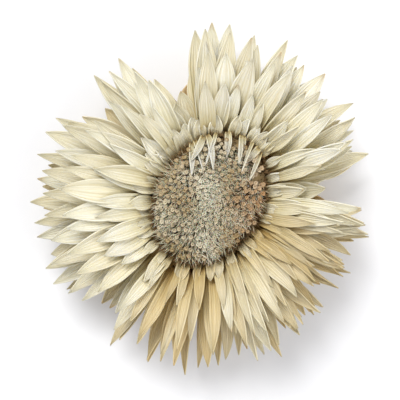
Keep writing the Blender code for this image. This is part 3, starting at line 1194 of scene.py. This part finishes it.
# %% [markdown]
# Behind the scales a cup closes the head. Only slivers of it show, so it is a turned form like
# the bowl, in the scales' own finish. The rim scales reach past it and hide its edge.

# %% Lay the scales on the cup
SCALE_SKIN = 0.16 * MM
CUP_RIBS = 36
CUP_PROFILE = (
    (1.6, 2.6), (1.6, 0.3), (4.3, 0.28), (5.6, 1.0), (6.9, 2.4), (7.7, 3.6), (7.7, 4.28),
    (0.3, 4.28),
)

for whorl in SCALE_WHORLS:
    start = draw.uniform(0, FULL_TURN)
    plans = (scale_plan(whorl, index, start) for index in range(whorl["count"]))
    grow_whorl(f"scales_{whorl['name']}", plans, SCALE_SKIN, TAN)
turned_piece("scale_cup", CUP_PROFILE, CUP_RIBS, CUP_STRETCH, TAN)

# %% [markdown]
# The stem was cut flush. Its end shows a rind of fibres round a pale, sunken pith. A flat cap
# would miss that hollow, so the profile has one, and the finish tells rind from pith by the mark
# along the profile.

# %% Finish the cut stem
STEM_RIBS = 14
STEM_PROFILE = (
    (0.1, 0.62), (0.5, 0.58), (0.85, 0.5), (1.1, 0.4), (1.28, 0.52), (1.3, 1.6), (1.25, 3.0),
    (0.1, 3.0),
)
PITH_ENDS = 0.42
PITH_WHOLE = 0.2


def make_stalk():
    """Return the finish of the cut stem."""
    desk = FinishDesk("stalk_fibre", {"Specular IOR Level": 0.3})
    along, across = desk.mark("along"), desk.mark("across")
    grain = desk.noise(across * 3, along * 9, desk.mark("tint") * 10)
    rind = desk.blend(desk.ease(across, -0.6, 0.8), tone(78, 62, 30), tone(128, 108, 60))
    pith = desk.ease(along, PITH_ENDS, PITH_WHOLE)
    colour = desk.blend(pith, rind, tone(206, 190, 146))
    colour = desk.shade(grain * 0.5, colour, tone(150, 128, 84))
    return desk.finish(colour, 0.8 - 0.1 * grain, grain, 0.05 * MM)


STALK = (make_stalk(), "cut_stalk", "stem_stub")
turned_piece("stem_end", STEM_PROFILE, STEM_RIBS, CUP_STRETCH, STALK)

# %% [markdown]
# The head lies on a plain pale floor, far wider than the view. A curved paper sweep is the usual
# studio trick, but a flat sheet is enough where the camera looks down on it.

# %% Lay the floor
FLOOR_SIZE = 3.0
FLOOR_WHITE = tone(240, 240, 241)


def make_floor():
    """Lay a plain pale floor under the head."""
    bpy.ops.mesh.primitive_plane_add(size=FLOOR_SIZE, location=(0, 0, 0))
    floor = bpy.context.active_object
    floor.name = "floor"
    desk = NodeDesk("floor_white", {"Base Color": FLOOR_WHITE, "Roughness": 0.9})
    floor.data.materials.append(desk.material)


make_floor()
print("the floor is", FLOOR_SIZE, "m wide")

# %% [markdown]
# The photograph looks straight down. A near camera would show the high disc too large against
# the low outer bracts, so this one hangs far over the head with a long lens.

# %% Hang the camera
VIEW_WIDTH = 41.5 * MM
LENS = 300.0
SENSOR = 36.0
AIM = Vector((0.0, 0.0, 7.0 * MM))


def make_camera():
    """Hang the camera straight over the head."""
    data = bpy.data.cameras.new("overhead")
    data.lens = LENS
    data.sensor_width = SENSOR
    data.clip_start = 0.01
    data.clip_end = 10.0
    camera = bpy.data.objects.new("overhead", data)
    camera.location = AIM + Vector((0, 0, VIEW_WIDTH / SENSOR * LENS))
    bpy.context.scene.collection.objects.link(camera)
    bpy.context.scene.camera = camera
    print("the camera hangs at", round(camera.location.z, 3), "m")


make_camera()

# %% [markdown]
# Papery bracts need soft light with a direction: light from one side leaves black shadows, and
# light from all round hides the veins. So a key light from the top left draws the ribs, and a
# larger fill and a pale sky open the shadows.

# %% Light the head
LIGHTS = table(
    "name place size power",
    ("key", Vector((-0.24, 0.47, 0.84)), 0.5, 7.8),
    ("fill", Vector((0.7, -0.25, 0.6)), 0.8, 4.1),
)
SKY_WHITE = tone(244, 245, 250)
SKY_STRENGTH = 0.6


def add_light(lamp):
    """Add a soft square light that faces the head."""
    data = bpy.data.lights.new(lamp["name"], "AREA")
    data.size = lamp["size"]
    data.energy = lamp["power"]
    light = bpy.data.objects.new(lamp["name"], data)
    light.location = lamp["place"]
    light.rotation_mode = "QUATERNION"
    light.rotation_quaternion = lamp["place"].to_track_quat("Z", "Y")
    light.visible_camera = False
    bpy.context.scene.collection.objects.link(light)
    print(lamp["name"], "light,", lamp["power"], "W, from", round(lamp["place"].length, 2), "m")


def make_sky():
    """Surround the scene with even pale light."""
    world = bpy.data.worlds.new("studio")
    world.use_nodes = True
    sky = world.node_tree.nodes["Background"]
    sky.inputs["Color"].default_value = SKY_WHITE
    sky.inputs["Strength"].default_value = SKY_STRENGTH
    bpy.context.scene.world = world


for lamp in LIGHTS:
    add_light(lamp)
make_sky()
bpy.context.scene.view_settings.view_transform = "Standard"
